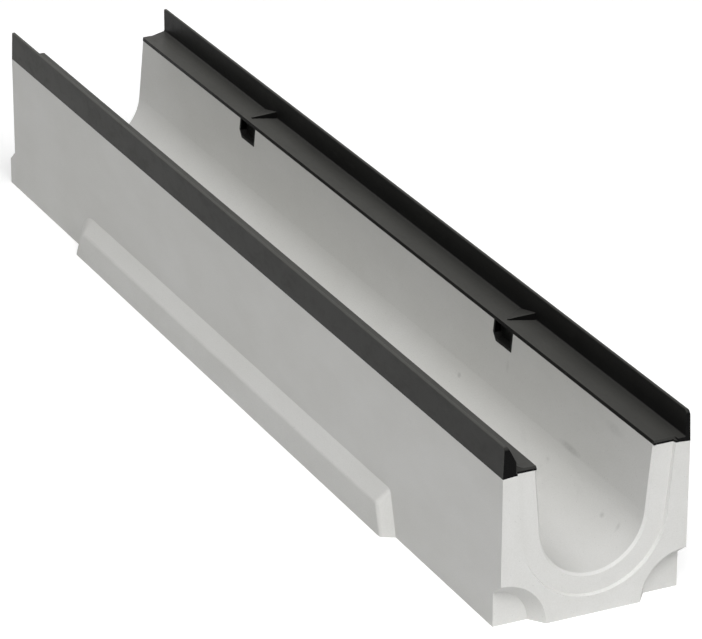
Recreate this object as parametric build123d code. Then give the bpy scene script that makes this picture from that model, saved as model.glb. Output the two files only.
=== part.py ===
from build123d import *
import math
import os

# Drainage channel unit in millimetres.
# X runs along the channel, Y runs across it and Z points up.
# The origin is under the middle of the unit, on the surface that it lies on.

# Concrete trough
length = 1000.0
width = 160.0
concrete_height = 130.0
opening_width = 100.0
trough_radius = 45.0
trough_floor = 33.0

# Joint at the two ends
near_rebate_width = 16.5
near_face_width = 17.5
near_rebate_depth = 3.0
far_rebate_width = 10.0
far_face_width = 25.0
far_rebate_depth = 7.5
mouth_chamfer = 2.0
corner_recess_radius = 39.3
corner_recess_taper = 9.8
corner_recess_depth = 12.5
corner_play = 5.0
corner_end_gap = 0.8

# Foot along each long side
foot_reach = 11.2
foot_height = 38.0
foot_near_inset = 178.5
foot_far_inset = 159.0
foot_near_slant = 10.5
foot_far_slant = 19.0
foot_near_taper = 6.0
foot_far_taper = 21.0
foot_near_round = 4.0
foot_far_round = 27.0
foot_edge_round = 4.0

# Edge rail section
rail_rise = 25.0
upright_foot = 4.0
upright_top = 3.0
upright_draft = 1.0
ledge_thickness = 3.2
ledge_end_edge = 1.7
ledge_end_lean = 0.77
skirt_drop = 0.8
skirt_width = 10.0
rail_edge_round = 0.8
rail_root_round = 1.2
rail_end_round = 4.5
ledge_corner_round = 1.2

# Gusset that closes the left rail at the near end
gusset_thickness = 8.0
gusset_width = 11.0
gusset_crown_drop = 13.5
gusset_waist_drop = 16.0
gusset_reach = 22.0

# Lock stations, each with a wedge on the ledge and a cup under it
lock_pitch = 500.0
wedge_nose_inset = 5.5
wedge_nose_start = -3.5
wedge_nose_end = -1.3
wedge_nose_height = 1.0
wedge_root_start = -20.0
wedge_root_end = 9.0
wedge_root_height = 6.5
wedge_crown = 1.0
wedge_draft = 0.15
cup_length = 33.0
cup_offset = 1.5
cup_drop = 16.5
cup_depth = 5.0
cup_wall = 2.5
cup_corner = 6.0

# Anchor lugs under each rail, held by the concrete
anchor_count = 5
anchor_pitch = 180.0
anchor_thickness = 8.0
anchor_drop = 26.0
anchor_neck = 8.0
anchor_root = 16.0

half_width = width / 2
half_opening = opening_width / 2
trough_axis_z = trough_floor + trough_radius
rail_top = concrete_height + rail_rise
ledge_top = concrete_height + ledge_thickness
boss_reach = corner_recess_depth - corner_end_gap
near_x = (length + boss_reach) / 2
far_x = near_x - length
middle_x = (near_x + far_x) / 2
lock_stations = (middle_x - lock_pitch / 2, middle_x + lock_pitch / 2)
near_floor_x = near_x - near_rebate_depth
far_floor_x = far_x + far_rebate_depth
clearance = 5.0
rebate_overshoot = 0.2

# Lean of the trough walls, which run tangent to the round bottom
wall_rise = concrete_height - trough_axis_z
wall_lean = math.acos(trough_radius / math.hypot(half_opening, wall_rise)) - math.atan2(
    wall_rise, half_opening
)


def along(section, start_x, end_x):
    """Solid with this cross-section between two places along the channel."""
    return extrude(Plane.YZ.offset(start_x) * section, end_x - start_x)


def trough_section(grow, top):
    """U-shaped section of the trough, wider by grow all round and open up to top."""
    radius = trough_radius + grow
    side = radius * math.cos(wall_lean)
    low = trough_axis_z - radius * math.sin(wall_lean)
    brim = side + (top - low) * math.tan(wall_lean)
    bottom = ThreePointArc((-side, low), (0, trough_axis_z - radius), (side, low))
    walls = Polyline((side, low), (brim, top), (-brim, top), (-side, low))
    return make_face(bottom + walls)


def end_rebate(face_x, floor_x, face_width, floor_width, top):
    """Rebate round the trough at one end, wider at the face than at its floor."""
    over_x = face_x + rebate_overshoot * (face_x - floor_x)
    over_width = face_width + rebate_overshoot * (face_width - floor_width)
    wide = Plane.YZ.offset(over_x) * trough_section(over_width, top)
    narrow = Plane.YZ.offset(floor_x) * trough_section(floor_width, top)
    return loft([wide, narrow], ruled=True)


def trough_space():
    """Trough and end rebates as one space to be taken out."""
    above = rail_top + clearance
    far_top = ledge_top + rail_root_round
    space = along(trough_section(0, above), far_x - boss_reach, near_x + clearance)
    space += end_rebate(near_x, near_floor_x, near_face_width, near_rebate_width, above)
    space += end_rebate(far_x, far_floor_x, far_face_width, far_rebate_width, far_top)
    return space


def mouth_bevel(floor_x, inward):
    """Bevel round the trough's edge at one end, below the rails."""
    wide = trough_section(mouth_chamfer, concrete_height)
    narrow = trough_section(0, concrete_height)
    inner_x = floor_x + inward * mouth_chamfer
    return loft([Plane.YZ.offset(floor_x) * wide, Plane.YZ.offset(inner_x) * narrow], ruled=True)


def corner_cone(at_x, side, radius, depth):
    """Cone on a lower long edge that narrows away from at_x towards the far end."""
    tip = radius - corner_recess_taper
    cone = Cone(radius, tip, depth, align=(Align.CENTER, Align.CENTER, Align.MIN))
    return Pos(at_x, side * half_width, 0) * Rot(Y=-90) * cone


def corner_boss(side):
    """Quarter cone at the far end that enters the recess of the next unit."""
    inward = Align.MAX if side > 0 else Align.MIN
    radius = corner_recess_radius - corner_play
    quarter = Box(boss_reach, radius, radius, align=(Align.MAX, inward, Align.MIN))
    quarter = Pos(far_x, side * half_width, 0) * quarter
    return corner_cone(far_x, side, radius, boss_reach) & quarter


def foot_outline(reach_out, top):
    """Outline of a side foot in the XZ plane, smaller towards its outer face."""
    near_low = near_x - foot_near_inset - foot_near_taper * reach_out
    far_low = far_x + foot_far_inset + foot_far_taper * reach_out
    near_high = near_low - foot_near_slant * top / foot_height
    far_high = far_low + foot_far_slant * top / foot_height
    far_round = foot_far_round * (1 - reach_out / 2)
    return make_face(
        FilletPolyline(
            (near_low, 0),
            (near_high, top),
            (far_high, top),
            (far_low, 0),
            radius=(0, foot_near_round, far_round, 0),
            close=True,
        )
    )


def side_foot():
    """Foot on the +Y side, with a sloping top edge and tapering ends."""
    wall = Plane.XZ.offset(-half_width) * foot_outline(0, foot_height)
    outer = Plane.XZ.offset(-half_width - foot_reach) * foot_outline(1, foot_height - foot_reach)
    foot = loft([wall, outer], ruled=True)
    outer_face = foot.faces().sort_by(Axis.Y)[-1]
    rim = [edge for edge in outer_face.edges() if edge.center().Z > foot_edge_round]
    return fillet(rim, foot_edge_round)


def rail_section():
    """Section of the edge rail on the +Y side: a ledge with an upright and a low skirt."""
    return make_face(
        FilletPolyline(
            (half_opening - ledge_thickness, concrete_height),
            (half_width - skirt_width, concrete_height),
            (half_width, concrete_height - skirt_drop),
            (half_width, concrete_height),
            (half_width - upright_draft, rail_top),
            (half_width - upright_draft - upright_top, rail_top),
            (half_width - upright_foot, ledge_top),
            (half_opening - ledge_thickness, ledge_top),
            radius=(0, 0, 0, 0, rail_edge_round, rail_edge_round, rail_root_round, 0),
            close=True,
        )
    )


def end_gusset():
    """Plate at the near end that joins the left rail's upright to its ledge."""
    inner = half_width - gusset_width
    waist = rail_top - gusset_waist_drop
    tip = half_width - gusset_reach
    edge = Polyline(
        (tip, ledge_top),
        (tip, concrete_height),
        (half_width, concrete_height),
        (half_width - upright_draft, rail_top - rail_edge_round),
        (half_width - upright_draft - rail_edge_round, rail_top),
        (half_width - upright_draft - upright_top, rail_top),
        (inner, rail_top - gusset_crown_drop),
        (inner, waist),
    )
    bow = gusset_reach - gusset_width
    sweep_radius = (bow**2 + (waist - ledge_top) ** 2) / (2 * (waist - ledge_top))
    turn = math.asin(bow / sweep_radius) / 2
    middle = (
        tip + sweep_radius * math.sin(turn),
        ledge_top + sweep_radius * (1 - math.cos(turn)),
    )
    hollow = ThreePointArc((inner, waist), middle, (tip, ledge_top))
    return along(make_face(edge + hollow), near_x - gusset_thickness, near_x)


def wedge_section(at_x, at_y, start, end, height):
    """Section of a ledge wedge at one distance across the channel."""
    sill = -ledge_thickness / 2
    crown_end = end - wedge_draft * height
    outline = Polyline(
        (start, sill),
        (start, 0),
        (crown_end - wedge_crown, height),
        (crown_end, height),
        (end, sill),
        close=True,
    )
    across = Plane(origin=(at_x, at_y, ledge_top), x_dir=(1, 0, 0), z_dir=(0, -1, 0))
    return across * make_face(outline)


def ledge_wedge(at_x):
    """Wedge on the ledge that rises towards the near end and towards the upright."""
    nose_y = half_opening + wedge_nose_inset
    root_y = half_width - upright_foot / 2
    nose = wedge_section(at_x, nose_y, wedge_nose_start, wedge_nose_end, wedge_nose_height)
    root = wedge_section(at_x, root_y, wedge_root_start, wedge_root_end, wedge_root_height)
    return loft([nose, root], ruled=True)


def cup_outline(at_x, shrink):
    """Outline of a lock cup in the XZ plane, inset by shrink from its outer faces."""
    centre = at_x + cup_offset
    far_side = centre - cup_length / 2 + shrink
    near_side = centre + cup_length / 2 - shrink
    low = concrete_height - cup_drop + shrink
    corner = cup_corner - shrink
    return make_face(
        Polyline(
            (far_side, concrete_height),
            (far_side, low + corner),
            (far_side + corner, low),
            (near_side, low),
            (near_side, concrete_height),
            close=True,
        )
    )


def cup_space(at_x, shrink):
    """Solid from inside the trough to the back of a lock cup, inset by shrink."""
    inner_y = half_opening - trough_radius / 4
    outer_y = half_opening + cup_depth + cup_wall - shrink
    return extrude(Plane.XZ.offset(-inner_y) * cup_outline(at_x, shrink), inner_y - outer_y)


def lock_cup(at_x):
    """Cup under the ledge, open towards the trough, before the trough trims its rim."""
    return cup_space(at_x, 0) - cup_space(at_x, cup_wall)


def ledge_end_waste():
    """Waste to be cut so that the ledge, and the gusset's foot, slope back at the near end."""
    low = concrete_height + ledge_end_edge
    high = rail_top - gusset_waist_drop
    front = near_x + clearance
    outline = Polyline(
        (near_floor_x, low),
        (near_floor_x - ledge_end_lean * (high - low), high),
        (front, high),
        (front, low),
        close=True,
    )
    inner_y = half_opening - ledge_thickness
    outer_y = half_width - gusset_width
    return extrude(Plane.XZ.offset(-inner_y) * make_face(outline), inner_y - outer_y)


def rail_end_corner():
    """Waste to be cut so that the upright's top corner is round at the near end."""
    inner_x = near_x - rail_end_round
    low = rail_top - rail_end_round
    high = rail_top + rail_end_round
    edge = Polyline((inner_x, rail_top), (inner_x, high), (near_x, high), (near_x, low))
    middle = (
        inner_x + rail_end_round * math.sin(math.pi / 4),
        low + rail_end_round * math.cos(math.pi / 4),
    )
    arc = ThreePointArc((near_x, low), middle, (inner_x, rail_top))
    corner = Plane.XZ.offset(-half_opening) * make_face(edge + arc)
    return extrude(corner, half_opening - width)


def anchor_lug(at_x):
    """Dovetail lug under the ledge that the concrete holds."""
    centre_y = (half_opening + cup_depth + cup_wall + half_width) / 2
    section = Polyline(
        (centre_y - anchor_neck / 2, concrete_height),
        (centre_y - anchor_root / 2, concrete_height - anchor_drop),
        (centre_y + anchor_root / 2, concrete_height - anchor_drop),
        (centre_y + anchor_neck / 2, concrete_height),
        close=True,
    )
    start = at_x - anchor_thickness / 2
    return along(make_face(section), start, start + anchor_thickness)


def edges_near(shape, point):
    """Edges whose middle lies within half a ledge thickness of a point."""
    reach = ledge_thickness / 2
    return [edge for edge in shape.edges() if (edge.center() - Vector(point)).length < reach]


def edge_rail(with_gusset):
    """Complete cast rail for the +Y side, with or without the gusset at its near end."""
    rail = along(rail_section(), far_x, near_x)
    if with_gusset:
        rail += end_gusset()
    for at_x in lock_stations:
        rail += ledge_wedge(at_x)
        rail += lock_cup(at_x)
    for index in range(anchor_count):
        rail += anchor_lug(middle_x + (index - (anchor_count - 1) / 2) * anchor_pitch)
    rail -= trough_space()
    rail -= ledge_end_waste()
    rail -= rail_end_corner()
    far_corner = (far_floor_x, half_opening, concrete_height + ledge_thickness / 2)
    return fillet(edges_near(rail, far_corner), ledge_corner_round)


def channel_body(rails):
    """Concrete casting round the two rails."""
    block = Box(length, width, concrete_height, align=(Align.MAX, Align.CENTER, Align.MIN))
    body = Pos(near_x, 0, 0) * block
    foot = side_foot()
    body += foot
    body += mirror(foot, Plane.XZ)
    for side in (-1, 1):
        body += corner_boss(side)
    for side in (-1, 1):
        body -= corner_cone(near_x, side, corner_recess_radius, corner_recess_depth)
    body -= trough_space()
    body -= mouth_bevel(near_floor_x, -1)
    body -= mouth_bevel(far_floor_x, 1)
    for at_x in lock_stations:
        space = cup_space(at_x, 0)
        body -= space
        body -= mirror(space, Plane.XZ)
    for rail in rails:
        body -= rail
    return body


right_rail = edge_rail(with_gusset=False)
left_rail = mirror(edge_rail(with_gusset=True), Plane.XZ)
pieces = {
    "channel_body": channel_body((left_rail, right_rail)),
    "left_edge_rail": left_rail,
    "right_edge_rail": right_rail,
}

os.makedirs("parts", exist_ok=True)
for name, piece in pieces.items():
    export_step(piece, f"parts/{name}.step")
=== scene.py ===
import math
from collections import namedtuple

import bpy
from mathutils import Matrix, Vector

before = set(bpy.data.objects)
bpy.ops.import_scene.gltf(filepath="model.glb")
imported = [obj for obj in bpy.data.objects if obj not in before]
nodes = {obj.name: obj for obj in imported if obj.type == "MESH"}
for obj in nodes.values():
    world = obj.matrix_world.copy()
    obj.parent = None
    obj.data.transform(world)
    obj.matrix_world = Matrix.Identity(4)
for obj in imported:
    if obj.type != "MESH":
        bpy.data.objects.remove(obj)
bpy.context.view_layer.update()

# Noise with its scale per metre, a range and what it is spread over, and a bump with its depth in metres
Noise = namedtuple("Noise", "scale detail roughness distortion", defaults=(0.0,))
Spread = namedtuple("Spread", "low high to_low to_high", defaults=(0.0, 1.0))
Relief = namedtuple("Relief", "strength distance")

# Camera of the photograph, in metres, millimetres and degrees
CAMERA_LENS = 213.04
CAMERA_SENSOR = 36.0
CAMERA_REACH = 100.0
CAMERA_AZIMUTH = -25.65989
CAMERA_ELEVATION = 23.76373
CAMERA_ROLL = 0.17505
CAMERA_PLACE = (2.95774, -1.38349, 1.48072)

# Studio light; a sun's direction points towards it
WORLD_LIGHT = 0.10
SEEN_WORLD = 1.0
WHITE = (1.0, 1.0, 1.0, 1.0)
SUN_ANGLE = 40.0
KEY_STRENGTH = 1.82
KEY_FROM = (0.65, -0.06, 0.76)
SIDE_STRENGTH = 0.84
SIDE_FROM = (0.30, -0.52, 0.80)
BOX_POWER = 9.6
BOX_SIZE = 1.0
BOX_PLACE = (1.90, -0.30, 1.50)
BOX_AIM = (0.2, 0.0, 0.1)

FLOOR_SIZE = 8.0
FLOOR_COLOUR = (0.79, 0.79, 0.79, 1.0)
FLOOR_GLOW = 0.42

# Share of a colour's warmth that its green loses too
GREEN_SHARE = 0.1

# Concrete tones as screen level and warmth, and how strongly each layer covers the one below
CLOUD_TONES = ((208, 0.036), (212, 0.026))
PATCH_TONE = (198, 0.06)
PATCH_SHARE = 0.16
SAND_TONE = (188, 0.06)
SAND_SHARE = 0.22
GRAIN_TONE = (132, 0.03)
HOLE_TONE = (104, 0.03)
HOLE_SHARE = 0.45
STAIN_TONE = (164, 0.05)
SMUDGE_TONE = (96, 0.06)

# Concrete texture, drawn out along the channel
CLOUD_STRETCH = (0.5, 1.0, 1.0)
CLOUDS = Noise(7.0, 3.0, 0.5, 0.6)
CLOUD_SPREAD = Spread(0.35, 0.65)
PATCHES = Noise(34.0, 5.0, 0.6)
PATCH_SPREAD = Spread(0.38, 0.66)
SAND = Noise(950.0, 2.0, 0.7)
SAND_SPREAD = Spread(0.35, 0.65)
GRAIN_SCALE = 420.0
GRAIN_DOT = Spread(0.10, 0.22, 0.26, 0.0)
GRAIN_CHOICE = Spread(0.70, 0.78)
HOLE_SCALE = 95.0
HOLE_DOT = Spread(0.035, 0.075, 1.0, 0.0)
HOLE_CHOICE = Spread(0.84, 0.88)
STAINS = Noise(11.0, 6.0, 0.7, 1.2)
STAIN_SPREAD = Spread(0.66, 0.76, 0.0, 0.16)
LUMPS = Noise(60.0, 3.0, 0.5)
LUMP_RELIEF = Relief(0.16, 0.0005)
SAND_RELIEF = Relief(0.30, 0.00012)
HOLE_RELIEF = Relief(0.7, 0.0004)
CONCRETE_ROUGHNESS = Spread(0.0, 1.0, 0.70, 0.86)

# Marks on the trough's +Y wall: middle, half size in metres, and depth of tone
SMUDGES = (
    ((0.1954, 0.0424, 0.0630), (0.0036, 0.0036, 0.0027), 0.44),
    ((0.2704, 0.0473, 0.1005), (0.0032, 0.0030, 0.0070), 0.15),
    ((0.3815, 0.0450, 0.0760), (0.0200, 0.0044, 0.0042), 0.28),
    ((0.3558, 0.0397, 0.0567), (0.0034, 0.0030, 0.0022), 0.17),
    ((0.4432, 0.0489, 0.1184), (0.0160, 0.0050, 0.0056), 0.13),
    ((0.4513, 0.0361, 0.0511), (0.0038, 0.0036, 0.0028), 0.27),
    ((0.4756, 0.0362, 0.0517), (0.0026, 0.0050, 0.0062), 0.20),
)
SMUDGE_EDGE = Spread(0.25, 1.0, 1.0, 0.0)
SMUDGE_BREAKS = Noise(260.0, 4.0, 0.65)
BREAK_SPREAD = Spread(0.35, 0.62, 0.45, 1.0)

# Iron tones and texture
IRON_TONES = ((17, 0.05), (23, 0.05))
IRON_CLOUDS = Noise(16.0, 4.0, 0.6)
IRON_CLOUD_SPREAD = Spread(0.35, 0.68)
DUST_TONE = (58, 0.06)
DUST_SHARE = 0.08
DUST_STRETCH = (0.5, 1.0, 1.0)
DUST = Noise(120.0, 6.0, 0.72, 0.4)
DUST_SPREAD = Spread(0.48, 0.72)
SPECK_TONE = (90, 0.05)
SPECK_SHARE = 0.20
SPECK_SCALE = 520.0
SPECK_DOT = Spread(0.10, 0.24, 1.0, 0.0)
SPECK_CHOICE = Spread(0.86, 0.90)
RUB_TONE = (80, 0.04)
RUB_STRETCH = (0.18, 1.0, 1.0)
RUBS = Noise(40.0, 5.0, 0.65)
RUB_SPREAD = Spread(0.62, 0.70, 0.0, 0.16)
PEEL = Noise(85.0, 3.0, 0.5)
PEEL_RELIEF = Relief(0.25, 0.0005)
FINE_PEEL = Noise(620.0, 3.0, 0.6)
FINE_PEEL_RELIEF = Relief(0.25, 0.00012)
IRON_ROUGHNESS = Spread(0.0, 1.0, 0.46, 0.60)
IRON_SPECULAR = 0.07

# The rails' end faces, and all their faces that look along the channel, are smoother and carry painted
# shade that makes them darker
END_SHADE_TONE = (2, 0.05)
END_SHADE = 0.92
END_ROUGHNESS = Spread(0.0, 1.0, 1.0, 0.55)

# Where the rails lie, in metres
HALF_LENGTH = 0.5
OUTER_Y = 0.080
CONCRETE_TOP = 0.130
RAIL_TOP = 0.155

# How squarely a face has to look up, sideways or along the channel to count as such
UPWARD = Spread(0.25, 0.95)
SQUARE = Spread(0.80, 0.95)

# Pale cement haze on the iron, which on upward faces is also painted sheen: its tone, its unevenness, and
# its change along the channel
HAZE_AND_SHEEN_TONE = (96, 0.08)
HAZE_STRETCH = (0.45, 1.0, 1.0)
HAZE_CLOUDS = Noise(26.0, 4.0, 0.55)
HAZE_SPREAD = Spread(0.30, 0.70, 0.88, 1.08)
HAZE_TREND = Spread(-HALF_LENGTH, HALF_LENGTH, 1.20, 0.87)

# How much haze each face carries, from its place on the rail; on ledge tops and rims it is partly painted
# sheen, and on the uprights' sides it only makes them paler towards their top
LEDGE_START = Spread(CONCRETE_TOP, CONCRETE_TOP + 0.001)
# Ledge tops: haze and painted sheen, lessening towards the upright
LEDGE_HAZE_AND_SHEEN = Spread(0.0605, 0.0740, 0.50, 0.31)
OUTER_HAZE = Spread(OUTER_Y - 0.0015, OUTER_Y - 0.001, 0.0, 0.285)
OUTER_TREND = Spread(-HALF_LENGTH, -0.1, 1.25, 0.87)
# Rims: haze and painted sheen, much more on the -Y rail
RIM_START = Spread(RAIL_TOP - 0.0009, RAIL_TOP - 0.0003)
RIM_HAZE_AND_SHEEN = Spread(-0.001, 0.001, 0.63, 0.12)
# Uprights' sides are paler towards their top
UPRIGHT_PALER_TOP = Spread(RAIL_TOP - 0.014, RAIL_TOP - 0.004, 0.0, 0.07)


def grey(level, warmth):
    """Linear colour for a screen level of 0 to 255, slightly yellow by warmth."""
    value = level / 255.0
    linear = value / 12.92 if value <= 0.04045 else ((value + 0.055) / 1.055) ** 2.4
    return (linear, linear * (1 - warmth * GREEN_SHARE), linear * (1 - warmth), 1.0)


class Graph:
    """Small helper that builds the node tree of a material or a world."""

    def __init__(self, owner, output):
        owner.use_nodes = True
        self.owner = owner
        self.tree = owner.node_tree
        self.tree.nodes.clear()
        self.output = self.add(output)

    def add(self, kind, inputs=None, **settings):
        node = self.tree.nodes.new(kind)
        for key, value in settings.items():
            setattr(node, key, value)
        for key, value in (inputs or {}).items():
            self.feed(node.inputs[key], value)
        return node

    def feed(self, socket, value):
        if isinstance(value, bpy.types.NodeSocket):
            self.tree.links.new(value, socket)
        else:
            socket.default_value = value

    def place(self, stretch=(1.0, 1.0, 1.0)):
        """Position on the object in metres, stretched along its axes."""
        source = self.add("ShaderNodeTexCoord").outputs["Object"]
        return self.add("ShaderNodeMapping", {"Vector": source, "Scale": stretch}).outputs["Vector"]

    def noise(self, field, where=None):
        inputs = {
            "Vector": where or self.place(),
            "Scale": field.scale,
            "Detail": field.detail,
            "Roughness": field.roughness,
            "Distortion": field.distortion,
        }
        return self.add("ShaderNodeTexNoise", inputs).outputs["Fac"]

    def dots(self, scale, dot, choice):
        """Shape of the dots that lie in cells, and one for the few cells chosen to hold one."""
        cells = self.add("ShaderNodeTexVoronoi", {"Vector": self.place(), "Scale": scale}).outputs
        return self.spread(cells["Distance"], dot), self.spread(cells["Color"], choice)

    def spread(self, value, span):
        inputs = {
            "Value": value,
            "From Min": span.low,
            "From Max": span.high,
            "To Min": span.to_low,
            "To Max": span.to_high,
        }
        return self.add("ShaderNodeMapRange", inputs, clamp=True).outputs["Result"]

    def math(self, operation, first, second=0.0):
        return self.add("ShaderNodeMath", {0: first, 1: second}, operation=operation).outputs["Value"]

    def times(self, first, second):
        return self.math("MULTIPLY", first, second)

    def most(self, first, second):
        return self.math("MAXIMUM", first, second)

    def vector(self, operation, first, second=None):
        inputs = {0: first} if second is None else {0: first, 1: second}
        return self.add("ShaderNodeVectorMath", inputs, operation=operation).outputs

    def axes(self, vector):
        """The three parts of a vector by name."""
        return self.add("ShaderNodeSeparateXYZ", {0: vector}).outputs

    def facing(self):
        """The three parts of the surface's normal by name."""
        return self.axes(self.add("ShaderNodeNewGeometry").outputs["Normal"])

    def spot(self, middle, half_size):
        """One inside a soft-edged ellipsoid, zero outside it."""
        offset = self.vector("SUBTRACT", self.place(), middle)["Vector"]
        share = self.vector("DIVIDE", offset, half_size)["Vector"]
        return self.spread(self.vector("LENGTH", share)["Value"], SMUDGE_EDGE)

    def blend(self, factor, first, second):
        node = self.add("ShaderNodeMix", data_type="RGBA", blend_type="MIX")
        sockets = {socket.name: socket for socket in node.inputs if socket.enabled}
        self.feed(sockets["Factor"], factor)
        self.feed(sockets["A"], first)
        self.feed(sockets["B"], second)
        return [socket for socket in node.outputs if socket.enabled][0]

    def bump(self, height, relief, below=None):
        inputs = {"Height": height, "Strength": relief.strength, "Distance": relief.distance}
        if below is not None:
            inputs["Normal"] = below
        return self.add("ShaderNodeBump", inputs).outputs["Normal"]

    def finish(self, shader):
        self.tree.links.new(shader, self.output.inputs["Surface"])
        return self.owner


def new_material(name):
    return Graph(bpy.data.materials.new(name), "ShaderNodeOutputMaterial")


def concrete():
    """Pale polymer concrete with soft clouding, fine sand and small air holes."""
    g = new_material("polymer_concrete")
    along = g.place(CLOUD_STRETCH)
    clouds = g.spread(g.noise(CLOUDS, along), CLOUD_SPREAD)
    patches = g.spread(g.noise(PATCHES, along), PATCH_SPREAD)
    sand = g.spread(g.noise(SAND), SAND_SPREAD)
    grain = g.times(*g.dots(GRAIN_SCALE, GRAIN_DOT, GRAIN_CHOICE))
    hole = g.times(*g.dots(HOLE_SCALE, HOLE_DOT, HOLE_CHOICE))
    stain = g.spread(g.noise(STAINS, along), STAIN_SPREAD)
    breaks = g.spread(g.noise(SMUDGE_BREAKS), BREAK_SPREAD)
    base = g.blend(clouds, grey(*CLOUD_TONES[0]), grey(*CLOUD_TONES[1]))
    base = g.blend(g.times(patches, PATCH_SHARE), base, grey(*PATCH_TONE))
    base = g.blend(g.times(sand, SAND_SHARE), base, grey(*SAND_TONE))
    base = g.blend(grain, base, grey(*GRAIN_TONE))
    base = g.blend(g.times(hole, HOLE_SHARE), base, grey(*HOLE_TONE))
    base = g.blend(stain, base, grey(*STAIN_TONE))
    for middle, half_size, depth in SMUDGES:
        mark = g.times(g.times(g.spot(middle, half_size), breaks), depth)
        base = g.blend(mark, base, grey(*SMUDGE_TONE))
    normal = g.bump(g.noise(LUMPS), LUMP_RELIEF)
    normal = g.bump(sand, SAND_RELIEF, normal)
    normal = g.bump(g.math("SUBTRACT", 1.0, hole), HOLE_RELIEF, normal)
    roughness = g.spread(patches, CONCRETE_ROUGHNESS)
    inputs = {"Base Color": base, "Roughness": roughness, "Normal": normal}
    return g.finish(g.add("ShaderNodeBsdfPrincipled", inputs).outputs["BSDF"])


def haze_and_painted_sheen(g):
    """Share of pale tone on the iron: haze on the outer sides, haze and painted sheen on the ledges away
    from their root and on the rims, and paler tops on the uprights' sides.
    """
    facing = g.facing()
    place = g.axes(g.place())
    across = g.math("ABSOLUTE", place["Y"])
    side = g.spread(g.math("ABSOLUTE", facing["Y"]), SQUARE)
    # Upward ledge faces: haze and painted sheen, less towards the upright
    ledge = g.times(g.spread(across, LEDGE_HAZE_AND_SHEEN), g.spread(facing["Z"], UPWARD))
    ledge = g.times(ledge, g.spread(place["Z"], LEDGE_START))
    outer = g.times(side, g.spread(across, OUTER_HAZE))
    outer = g.times(outer, g.spread(place["X"], OUTER_TREND))
    # Rims: haze and painted sheen, more on the -Y rail
    rim = g.times(g.spread(place["Z"], RIM_START), g.spread(place["Y"], RIM_HAZE_AND_SHEEN))
    # Uprights' sides paler towards their top
    upright = g.times(g.spread(place["Z"], UPRIGHT_PALER_TOP), side)
    share = g.most(g.most(ledge, outer), g.most(rim, upright))
    cover = g.spread(g.noise(HAZE_CLOUDS, g.place(HAZE_STRETCH)), HAZE_SPREAD)
    return g.times(g.times(share, cover), g.spread(place["X"], HAZE_TREND))


def coated_iron():
    """Black dip-coated casting with a faint orange peel, cement haze that is partly painted sheen, rubbed
    spots, and painted shade on faces looking along the channel.
    """
    g = new_material("coated_iron")
    clouds = g.spread(g.noise(IRON_CLOUDS), IRON_CLOUD_SPREAD)
    dust = g.spread(g.noise(DUST, g.place(DUST_STRETCH)), DUST_SPREAD)
    speck = g.times(*g.dots(SPECK_SCALE, SPECK_DOT, SPECK_CHOICE))
    rubbed = g.spread(g.noise(RUBS, g.place(RUB_STRETCH)), RUB_SPREAD)
    end_face = g.spread(g.math("ABSOLUTE", g.facing()["X"]), SQUARE)
    base = g.blend(clouds, grey(*IRON_TONES[0]), grey(*IRON_TONES[1]))
    base = g.blend(g.times(dust, DUST_SHARE), base, grey(*DUST_TONE))
    # Pale haze, partly painted sheen on ledge tops and rims
    base = g.blend(haze_and_painted_sheen(g), base, grey(*HAZE_AND_SHEEN_TONE))
    base = g.blend(g.times(speck, SPECK_SHARE), base, grey(*SPECK_TONE))
    base = g.blend(rubbed, base, grey(*RUB_TONE))
    # Painted shade: faces looking along the channel are made nearly black
    base = g.blend(g.times(end_face, END_SHADE), base, grey(*END_SHADE_TONE))
    normal = g.bump(g.noise(PEEL), PEEL_RELIEF)
    normal = g.bump(g.noise(FINE_PEEL), FINE_PEEL_RELIEF, normal)
    roughness = g.times(g.spread(dust, IRON_ROUGHNESS), g.spread(end_face, END_ROUGHNESS))
    inputs = {
        "Base Color": base,
        "Roughness": roughness,
        "Normal": normal,
        "Specular IOR Level": IRON_SPECULAR,
    }
    return g.finish(g.add("ShaderNodeBsdfPrincipled", inputs).outputs["BSDF"])


def seen_rays(g):
    """One where the camera, a reflection or a refraction sees the surface."""
    rays = g.add("ShaderNodeLightPath").outputs
    return g.most(g.most(rays["Is Camera Ray"], rays["Is Glossy Ray"]), rays["Is Transmission Ray"])


def studio_floor():
    """White floor under the part that keeps its soft shadow."""
    g = new_material("studio_floor")
    diffuse = g.add("ShaderNodeBsdfDiffuse", {"Color": FLOOR_COLOUR}).outputs["BSDF"]
    glow = g.add("ShaderNodeEmission", {"Strength": g.times(seen_rays(g), FLOOR_GLOW)}).outputs["Emission"]
    both = g.add("ShaderNodeAddShader", {0: diffuse, 1: glow}).outputs["Shader"]
    half = FLOOR_SIZE / 2
    corners = [(-half, -half, 0), (half, -half, 0), (half, half, 0), (-half, half, 0)]
    mesh = bpy.data.meshes.new("studio_floor")
    mesh.from_pydata(corners, [], [(0, 1, 2, 3)])
    mesh.materials.append(g.finish(both))
    floor = bpy.data.objects.new("studio_floor", mesh)
    bpy.context.scene.collection.objects.link(floor)


def studio_world():
    """Even light all round, with a white backdrop where it is seen."""
    g = Graph(bpy.data.worlds.new("studio_world"), "ShaderNodeOutputWorld")
    strength = g.spread(seen_rays(g), Spread(0.0, 1.0, WORLD_LIGHT, SEEN_WORLD))
    backdrop = g.add("ShaderNodeBackground", {"Color": WHITE, "Strength": strength})
    bpy.context.scene.world = g.finish(backdrop.outputs["Background"])


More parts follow.
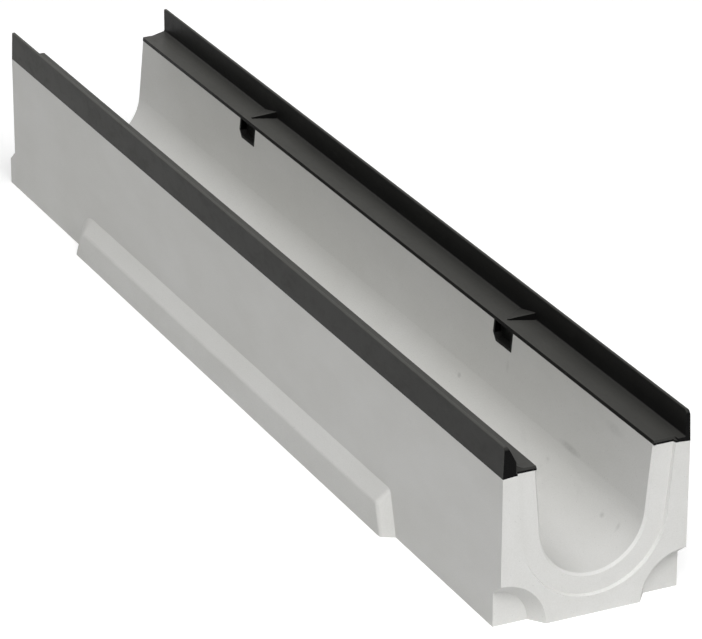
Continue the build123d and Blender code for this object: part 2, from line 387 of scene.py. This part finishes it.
def hang(name, lamp, source):
    """Lamp that shines from the side where source points."""
    holder = bpy.data.objects.new(name, lamp)
    holder.rotation_mode = "QUATERNION"
    holder.rotation_quaternion = source.to_track_quat("Z", "Y")
    bpy.context.scene.collection.objects.link(holder)
    return holder


def soft_sun(name, strength, source):
    """Wide sun that lights the whole part evenly."""
    lamp = bpy.data.lights.new(name, "SUN")
    lamp.energy = strength
    lamp.angle = math.radians(SUN_ANGLE)
    hang(name, lamp, Vector(source))


def soft_box(name):
    """Round lamp in front of the near end, so that the light falls off along the channel."""
    lamp = bpy.data.lights.new(name, "AREA")
    lamp.energy = BOX_POWER
    lamp.shape = "DISK"
    lamp.size = BOX_SIZE
    hang(name, lamp, Vector(BOX_PLACE) - Vector(BOX_AIM)).location = BOX_PLACE


def photo_camera():
    """Camera at the photograph's place and viewing angle."""
    azimuth = math.radians(CAMERA_AZIMUTH)
    elevation = math.radians(CAMERA_ELEVATION)
    roll = math.radians(CAMERA_ROLL)
    flat = math.cos(elevation)
    back = Vector((flat * math.cos(azimuth), flat * math.sin(azimuth), math.sin(elevation)))
    level = Vector((-math.sin(azimuth), math.cos(azimuth), 0))
    raised = back.cross(level)
    right = math.cos(roll) * level + math.sin(roll) * raised
    up = math.cos(roll) * raised - math.sin(roll) * level
    turn = Matrix((right, up, back)).transposed()
    data = bpy.data.cameras.new("photo_camera")
    data.lens = CAMERA_LENS
    data.sensor_width = CAMERA_SENSOR
    data.clip_end = CAMERA_REACH
    camera = bpy.data.objects.new("photo_camera", data)
    camera.matrix_world = Matrix.Translation(CAMERA_PLACE) @ turn.to_4x4()
    bpy.context.scene.collection.objects.link(camera)
    bpy.context.scene.camera = camera


def dress(node, material):
    """Give a solid its finished material."""
    for slot in node.material_slots:
        slot.material = material


dress(nodes["channel_body"], concrete())
iron = coated_iron()
dress(nodes["left_edge_rail"], iron)
dress(nodes["right_edge_rail"], iron)

studio_floor()
studio_world()
soft_sun("key_light", KEY_STRENGTH, KEY_FROM)
soft_sun("side_light", SIDE_STRENGTH, SIDE_FROM)
soft_box("near_box")
photo_camera()
bpy.context.scene.view_settings.view_transform = "Standard"
